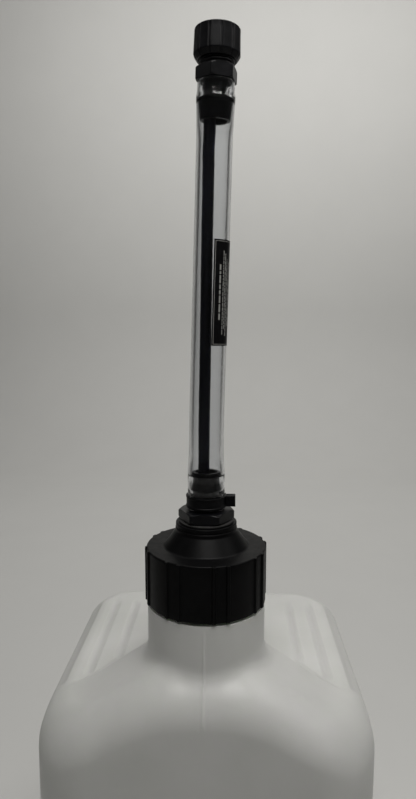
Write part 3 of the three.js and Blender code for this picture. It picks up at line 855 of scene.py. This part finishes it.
def make_adapter(material):
    inradius = ADAPTER_CORNER * math.cos(TURN / 12)
    stub, stub_end = 15.9, ADAPTER_LOW[2]
    outside = soften([(ADAPTER_BORE, stub_end, 0.2), (stub - 0.9, stub_end, 0.3), (stub, stub_end + 0.9, 0.3),
                      (stub, ADAPTER_HEX_LOW - 0.05)], closed=False)
    thread_rows = [np.array([stub - 0.01, z]) for z in np.linspace(stub_end + 1.4, CAP_RIM - 0.4, 70)]
    outside = np.concatenate([outside[:-1], thread_rows, outside[-1:]])
    hexagon = np.array(hex_rows(inradius, ADAPTER_HEX_LOW, ADAPTER_HEX_HIGH))
    upper = soften([
        (BARB_ROOT + 1.2, ADAPTER_HEX_HIGH), (BARB_ROOT, ADAPTER_HEX_HIGH + 0.9, 0.5), *barb_rows(),
        (ADAPTER_BORE + 0.5, BEND_START, 0.2), (ADAPTER_BORE, BEND_START - 0.6, 0.2),
        (ADAPTER_BORE, stub_end + 3),
    ], closed=False)
    section = np.concatenate([outside, hexagon, upper])
    hexed = hex_shape(inradius, ADAPTER_PHASE, ADAPTER_HEX_LOW, ADAPTER_HEX_HIGH, 2.4, ADAPTER_CORNER)

    def shape(radius, height, angle):
        on_stub = (np.abs(radius - stub) < 0.02) & (height < CAP_RIM)
        thread = 0.5 + 0.5 * np.cos(TURN * (height / 1.9 - angle / TURN))
        fade = smooth(stub_end + 1.2, stub_end + 2.5, height)
        cut = np.where(on_stub, 0.8 * (1 - thread) * fade, 0)
        return hexed(radius - cut, height, angle)

    adapter = add_mesh("barb_adapter", on_neck(spin(section, even(240), shape)[0]),
                       grid_faces(240, len(section), wrap_rows=True), material)
    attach(adapter, "pour_cap")
    make_vent_guide(material)
    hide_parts("hose_adapter")


def make_vent_guide(material):
    """Sleeve that holds the vent tube off centre in the adapter's bore, with two webs."""
    inner, outer = VENT_OUTER + 0.25, VENT_OUTER + 1.3
    low, high = ADAPTER_HEX_LOW + 1, ADAPTER_HEX_HIGH - 1
    corners = [(inner, low, 0.2), (outer, low, 0.3), (outer, high, 0.3), (inner, high, 0.2)]
    sleeve, faces = spin(soften(corners), even(64))
    sleeve = sleeve + np.array([VENT_LOW_OFFSET, 0, 0])
    parts = [(sleeve, faces)]
    web = (1.2, 3.4, high - low)
    for side in (-1, 1):
        centre = (VENT_LOW_OFFSET, side * (outer + 1.2), (low + high) / 2)
        parts.append(rounded_block(web, centre, 0.25))
    points, faces = join_parts(parts)
    guide = add_mesh("vent_guide", on_neck(points), faces, material)
    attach(guide, "pour_cap")


def rounded_block(size, centre, fillet, steps=3):
    """Box with rounded edges and corners, as points and faces."""
    mesh = bmesh.new()
    bmesh.ops.create_cube(mesh, size=1)
    bmesh.ops.scale(mesh, vec=Vector(size), verts=mesh.verts)
    bmesh.ops.bevel(mesh, geom=mesh.edges[:], offset=fillet, segments=steps, affect="EDGES", profile=0.5)
    bmesh.ops.translate(mesh, vec=Vector(centre), verts=mesh.verts)
    mesh.verts.index_update()
    points = np.array([v.co[:] for v in mesh.verts])
    faces = [tuple(v.index for v in f.verts) for f in mesh.faces]
    mesh.free()
    return points, faces


def make_locknut(material):
    low, high = LOCKNUT_LOW[2], LOCKNUT_HIGH[2]
    inradius = 19 * math.cos(TURN / 12)
    hexagon = hex_rows(inradius, low, high)
    section = np.concatenate([hexagon, soften([(16.6, high), (16.2, high - 0.5, 0.2), (16.2, low + 0.5, 0.2),
                                               (16.6, low)], closed=False)])
    shape = hex_shape(inradius, 0, low, high, 1.0, 19)

    def nut(radius, height, angle):
        inside = radius < 17
        return np.where(inside, radius, shape(radius, height, angle))

    points, faces = spin(section, even(180), nut)
    piece = add_mesh("inner_locknut", on_neck(points), faces, material)
    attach(piece, "pour_cap")
    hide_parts("adapter_locknut")


# ---- hose, vent tube, clamp and label ---------------------------------------------------------------
NOZZLE_TIP = 188.8
NOZZLE_RIM = 203.2
RIM_RADIUS = 11.9
# The stretched hose is pressed on the barbs, so its wall runs this far into them.
CONTACT = 0.05
# Below the top barb the wall stands clear by this much.
BARB_GAP = 0.12
HOSE_END = 214.5
CLAMP_TOP = CLAMP_HIGH[2]


def make_hose():
    bottom = HOSE_LOW[2]
    top, tip = LEAN_START + HOSE_END, LEAN_START + NOZZLE_TIP
    rim = LEAN_START + NOZZLE_RIM
    outside = [
        (10.6, bottom, 0.3), (13.3, bottom, 0.6), (13.3, CLAMP_TOP - 1, 2),
        (HOSE_BULGE, CLAMP_TOP + 2.2, 2), (HOSE_BULGE - 0.25, CLAMP_TOP + 6, 2),
        (HOSE_BULGE, BARB_BASES[2] - 1, 3), (HOSE_BULGE - 0.2, BEND_START, 3),
        (HOSE_OUTER, BEND_START + 14, 6), (HOSE_OUTER, tip - 10, 6), (HOSE_OUTER + 0.35, tip + 2, 3),
        (HOSE_BULGE - 0.3, rim - 1, 3), (HOSE_BULGE - 0.2, rim + 2.5, 2), (HOSE_BULGE - 0.7, rim + 5, 3),
        (HOSE_BULGE - 0.9, top, 0.6), (11.0, top, 0.4), (11.3, rim + 4, 2),
        (RIM_RADIUS - CONTACT, rim + 0.2, 0.2), (RIM_RADIUS - CONTACT, rim - 1.2, 0.2),
        (RIM_RADIUS - 0.15, rim - 2.5, 0.5), (10.9, tip, 2),
        (HOSE_INNER, tip - 9, 4), (HOSE_INNER, BEND_START + 8, 4), (10.8, BEND_START, 1),
    ]
    for base in reversed(BARB_BASES):
        touch = BARB_RIDGE - CONTACT if base == BARB_BASES[2] else BARB_RIDGE + BARB_GAP
        outside += [(touch, base + 0.9, 0.3), (touch, base + 0.3, 0.3)]
        outside.append((10.7, base - 3.5, 1.5))
    section = soften(outside, steps=5)
    dense = []
    for here, ahead in zip(section, np.roll(section, -1, axis=0)):
        pieces = max(1, int(abs(ahead[1] - here[1]) / 6))
        dense += [here + (ahead - here) * i / pieces for i in range(pieces)]
    points, faces = spin(dense, even(128))
    hose = add_mesh("hose_wall", along_hose(points), faces, clear_vinyl())
    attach(hose, "pour_cap")
    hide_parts("clear_hose")


def vent_offset(height):
    progress = smooth(BEND_START, LEAN_START + NOZZLE_TIP, height)
    wave = 0.22 * np.sin(height / 5.2) * np.exp(-((height - LEAN_START - 178) / 16) ** 2)
    return VENT_LOW_OFFSET + (VENT_HIGH_OFFSET - VENT_LOW_OFFSET) * progress + wave


def make_vent_tube():
    """Black tube from inside the jug to the nozzle, drifting across the hose's bore."""
    low, top = VENT_LOW[2], LEAN_START + 236.0
    corners = [(VENT_INNER, low, 0.3), (VENT_OUTER, low, 0.4), (VENT_OUTER, top, 0.4), (VENT_INNER, top, 0.3)]
    section = soften(corners, steps=3)
    dense = []
    for here, ahead in zip(section, np.roll(section, -1, axis=0)):
        pieces = max(1, int(abs(ahead[1] - here[1]) / 2.5))
        dense += [here + (ahead - here) * i / pieces for i in range(pieces)]
    points, faces = spin(dense, even(48))
    points = points + np.stack([vent_offset(points[:, 2]), 0 * points[:, 2], 0 * points[:, 2]], -1)
    tube = add_mesh("vent_line", along_hose(points), faces, vent_plastic())
    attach(tube, "pour_cap")
    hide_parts("vent_tube")


def make_clamp():
    """One-piece ratchet clamp: a band with a raised edge each side and two toothed jaws at the right."""
    low, high = CLAMP_LOW[2], CLAMP_HIGH[2]
    inner, outer = 13.6, 15.0
    sunk = outer - 0.35
    corners = [
        (inner, low, 0.3), (outer, low, 0.4), (outer, low + 1.2, 0.2), (sunk, low + 1.5, 0.2),
        (sunk, high - 1.5, 0.2), (outer, high - 1.2, 0.2), (outer, high, 0.4), (inner, high, 0.3),
    ]
    parts = [spin(soften(corners, steps=3), even(128))]
    middle = (low + high) / 2
    height = high - low
    reach = CLAMP_HIGH[0]
    for side in (-1, 1):
        length = reach - inner - 0.9
        jaw_centre = (reach - length / 2, side * 1.9, middle)
        parts.append(rounded_block((length, 2.5, height - 0.4), jaw_centre, 0.45))
        for i in range(5):
            x = outer + 1.0 + i * (reach - outer - 1.9) / 4.4
            parts.append(rounded_block((0.75, 0.8, height - 1.2), (x, side * 3.25, middle), 0.2, 2))
    for i in range(4):
        x = outer + 1.6 + i * (reach - outer - 2.4) / 3.6
        parts.append(rounded_block((0.8, 1.5, height - 1.0), (x, 0, middle), 0.25, 2))
    parts.append(rounded_block((1.3, 6.2, 1.5), (reach - 0.75, 0, high - 0.9), 0.35))
    points, faces = join_parts(parts)
    clamp = add_mesh("ratchet_clamp", on_neck(points), faces, clamp_nylon())
    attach(clamp, "pour_cap")
    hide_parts("hose_clamp")


LABEL_BOTTOM = 36.3
LABEL_HEIGHT = 73.0
LABEL_FROM = 10.0
LABEL_SWEEP = 111.0
LABEL_INNER = 12.74
LABEL_OUTER = 12.98
# Lines of print across the label: place and thickness, then start and end along it, in millimetres.
PRINT_LINES = (
    (4.6, 1.15, 18.0, 56.0), (7.6, 0.7, 8.0, 66.0), (9.3, 0.7, 12.0, 64.0), (11.0, 0.7, 7.0, 60.0),
    (13.6, 1.15, 14.0, 58.0), (16.6, 0.7, 8.0, 66.0), (18.3, 0.7, 12.0, 62.0), (20.0, 0.7, 9.0, 50.0),
)


def label_patch(across, along, lift):
    """Solid curved patch of the label; across and along run from 0 to 1 over its width and height."""
    steps = max(2, int((across[1] - across[0]) * 48) + 1)
    points = []
    for radius in (LABEL_INNER if lift == 0 else LABEL_OUTER - 0.02, LABEL_OUTER + lift):
        for u in np.linspace(*across, steps):
            a = heading(LABEL_FROM + LABEL_SWEEP * u)
            for v in along:
                points.append((radius * math.cos(a), radius * math.sin(a), LABEL_BOTTOM + LABEL_HEIGHT * v))
    faces = []
    skin = 2 * steps
    for i in range(steps - 1):
        a, b = 2 * i, 2 * (i + 1)
        faces.append((a, b, b + 1, a + 1))
        faces.append((skin + a, skin + a + 1, skin + b + 1, skin + b))
        faces.append((a, skin + a, skin + b, b))
        faces.append((a + 1, b + 1, skin + b + 1, skin + a + 1))
    for a in (0, 2 * (steps - 1)):
        faces.append((a, a + 1, skin + a + 1, skin + a))
    return np.array(points), faces


def make_label():
    points, faces = label_patch((0, 1), (0, 1), 0)
    film = add_mesh("label_sheet", lean_points(points), faces, label_film(), weighted=False)
    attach(film, "pour_cap")
    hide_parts("hose_label")
    width = math.radians(LABEL_SWEEP) * LABEL_OUTER
    inset, line = 1.0, 0.28
    u0, u1 = inset / width, (inset + line) / width
    v0, v1 = inset / LABEL_HEIGHT, (inset + line) / LABEL_HEIGHT
    strips = [((u0, u1), (v0, 1 - v0)), ((1 - u1, 1 - u0), (v0, 1 - v0)),
              ((u1, 1 - u1), (v0, v1)), ((u1, 1 - u1), (1 - v1, 1 - v0))]
    rng = np.random.default_rng(7)
    for place, thick, start, end in PRINT_LINES:
        at = start
        while at < end:
            word = min(rng.uniform(1.6, 5.2) * thick, end - at)
            across = (place / width, (place + thick) / width)
            strips.append((across, (at / LABEL_HEIGHT, (at + word) / LABEL_HEIGHT)))
            at += word + 0.75 * thick
    points, faces = join_parts([label_patch(across, along, 0.03) for across, along in strips])
    print_layer = add_mesh("label_print", lean_points(points), faces, label_ink(), weighted=False)
    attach(print_layer, "pour_cap")


# ---- nozzle end -----------------------------------------------------------------------------------------
NOZZLE_HEX_LOW = 215.0
NOZZLE_HEX_HIGH = 223.4
NOZZLE_CORNER = 15.0
NOZZLE_PHASE = -11.5
NOZZLE_BORE = 8.3
NOZZLE_CORE = 12.45
NOZZLE_LIP = 244.2
NOZZLE_PITCH = 2.2
STEM = 9.5


def make_nozzle(material):
    inradius = NOZZLE_CORNER * math.cos(TURN / 12)
    lower = soften([
        (NOZZLE_BORE, NOZZLE_TIP, 0.3), (10.4, NOZZLE_TIP, 0.4), (RIM_RADIUS, NOZZLE_RIM - 1.2, 0.2),
        (RIM_RADIUS, NOZZLE_RIM, 0.2), (STEM, NOZZLE_RIM + 0.5, 0.4), (STEM, NOZZLE_HEX_LOW - 0.8, 0.6),
        (STEM + 1.2, NOZZLE_HEX_LOW),
    ], closed=False)
    hexagon = np.array(hex_rows(inradius, NOZZLE_HEX_LOW, NOZZLE_HEX_HIGH))
    neck = [(NOZZLE_CORE - 0.75, NOZZLE_HEX_HIGH), (NOZZLE_CORE - 0.75, NOZZLE_HEX_HIGH + 1.2)]
    neck += [(NOZZLE_CORE, z) for z in np.linspace(NOZZLE_HEX_HIGH + 1.5, NOZZLE_LIP - 1.6, 130)]
    lip = soften([(NOZZLE_CORE - 0.8, NOZZLE_LIP - 1.2), (NOZZLE_CORE - 1.1, NOZZLE_LIP, 0.4),
                  (NOZZLE_BORE, NOZZLE_LIP, 0.4), (NOZZLE_BORE, NOZZLE_TIP + 3)], closed=False)
    section = np.concatenate([lower, hexagon, np.array(neck), lip])
    hexed = hex_shape(inradius, NOZZLE_PHASE, NOZZLE_HEX_LOW, NOZZLE_HEX_HIGH, 1.0, NOZZLE_CORNER)

    def shape(radius, height, angle):
        on_thread = np.abs(radius - NOZZLE_CORE) < 0.01
        wave = 0.5 + 0.5 * np.cos(TURN * (height / NOZZLE_PITCH - angle / TURN))
        fade = smooth(NOZZLE_HEX_HIGH + 1.5, NOZZLE_HEX_HIGH + 2.6, height)
        fade = fade * (1 - smooth(NOZZLE_LIP - 3, NOZZLE_LIP - 1.6, height))
        cut = np.where(on_thread, 0.75 * (1 - smooth(0.15, 0.75, wave) * fade), 0)
        in_hex = (height >= NOZZLE_HEX_LOW - 0.01) & (height <= NOZZLE_HEX_HIGH + 0.01)
        return np.where(in_hex & (radius > inradius - 0.5), hexed(radius, height, angle), radius - cut)

    points, faces = spin(section, even(192), shape)
    nozzle = add_mesh("nozzle_barb", lean_points(points), faces, material)
    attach(nozzle, "pour_cap")
    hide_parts("nozzle_fitting")


KNOB_BOTTOM = 228.4
KNOB_TOP = 248.4
KNOB_GROOVES = 12
KNOB_PHASE = 12


def make_knob(material):
    bore, roof = 12.9, 1.9
    section = soften([
        (0, KNOB_TOP - roof), (bore, KNOB_TOP - roof, 0.4), (bore, KNOB_BOTTOM, 0.25),
        (13.9, KNOB_BOTTOM, 0.35), (16.25, KNOB_BOTTOM + 3.4, 0.6), (15.75, KNOB_TOP - 0.1, 0.75),
        (12.6, KNOB_TOP, 0.8),
        (12.2, KNOB_TOP - 0.5, 0.5), (6, KNOB_TOP - 0.5, 1), (0, KNOB_TOP - 0.4),
    ], closed=False, steps=6)
    dense = []
    for here, ahead in zip(section[:-1], section[1:]):
        pieces = max(1, int(np.linalg.norm(ahead - here) / 1.6))
        dense += [here + (ahead - here) * i / pieces for i in range(pieces)]
    dense.append(section[-1])

    def grooved(radius, height, angle):
        pitch = TURN / KNOB_GROOVES
        away = (angle - heading(KNOB_PHASE) + pitch / 2) % pitch - pitch / 2
        groove = 1 - smooth(0.3, 1.15, np.abs(away) * 16)
        lobe = 0.25 * (1 - np.cos(away * KNOB_GROOVES)) / 2
        outside = smooth(13.6, 15.2, radius) * (1 - 0.65 * smooth(KNOB_TOP - 2.2, KNOB_TOP - 0.3, height))
        return radius - (0.6 * groove + lobe) * outside

    points, faces = spin(dense, even(360), grooved, closed=False)
    knob = add_mesh("end_knob", lean_points(points), faces, material)
    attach(knob, "knob")
    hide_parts("nozzle_knob")


def make_knob_seal():
    low = NOZZLE_LIP + 0.3
    section = soften([(0, low), (12.3, low, 0.4), (12.3, low + 1.7, 0.4), (0, low + 1.7)], closed=False)
    points, faces = spin(section, even(96), closed=False)
    seal = add_mesh("seal_disc", lean_points(points), faces, RUBBER)
    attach(seal, "knob_lift")
    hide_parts("knob_seal")


# ---- making ------------------------------------------------------------------------------------------------
make_camera()
set_view()
make_lights()
make_floor()
RUBBER = seal_rubber()
FITTING = fitting_plastic()
make_jug()
make_cap()
plain_ring("neck_gasket", "cap_gasket", "cap_lift", RUBBER,
           34, GASKET_HIGH[0] - 0.05, GASKET_LOW[2], GASKET_HIGH[2], 0.4, on_neck)
plain_ring("hex_washer", "adapter_washer", "pour_cap", RUBBER,
           16.3, WASHER_HIGH[0] - 0.05, WASHER_LOW[2], WASHER_HIGH[2], 0.4, on_neck)
make_adapter(FITTING)
make_locknut(FITTING)
make_hose()
make_vent_tube()
make_clamp()
make_label()
make_nozzle(FITTING)
make_knob_seal()
make_knob(FITTING)
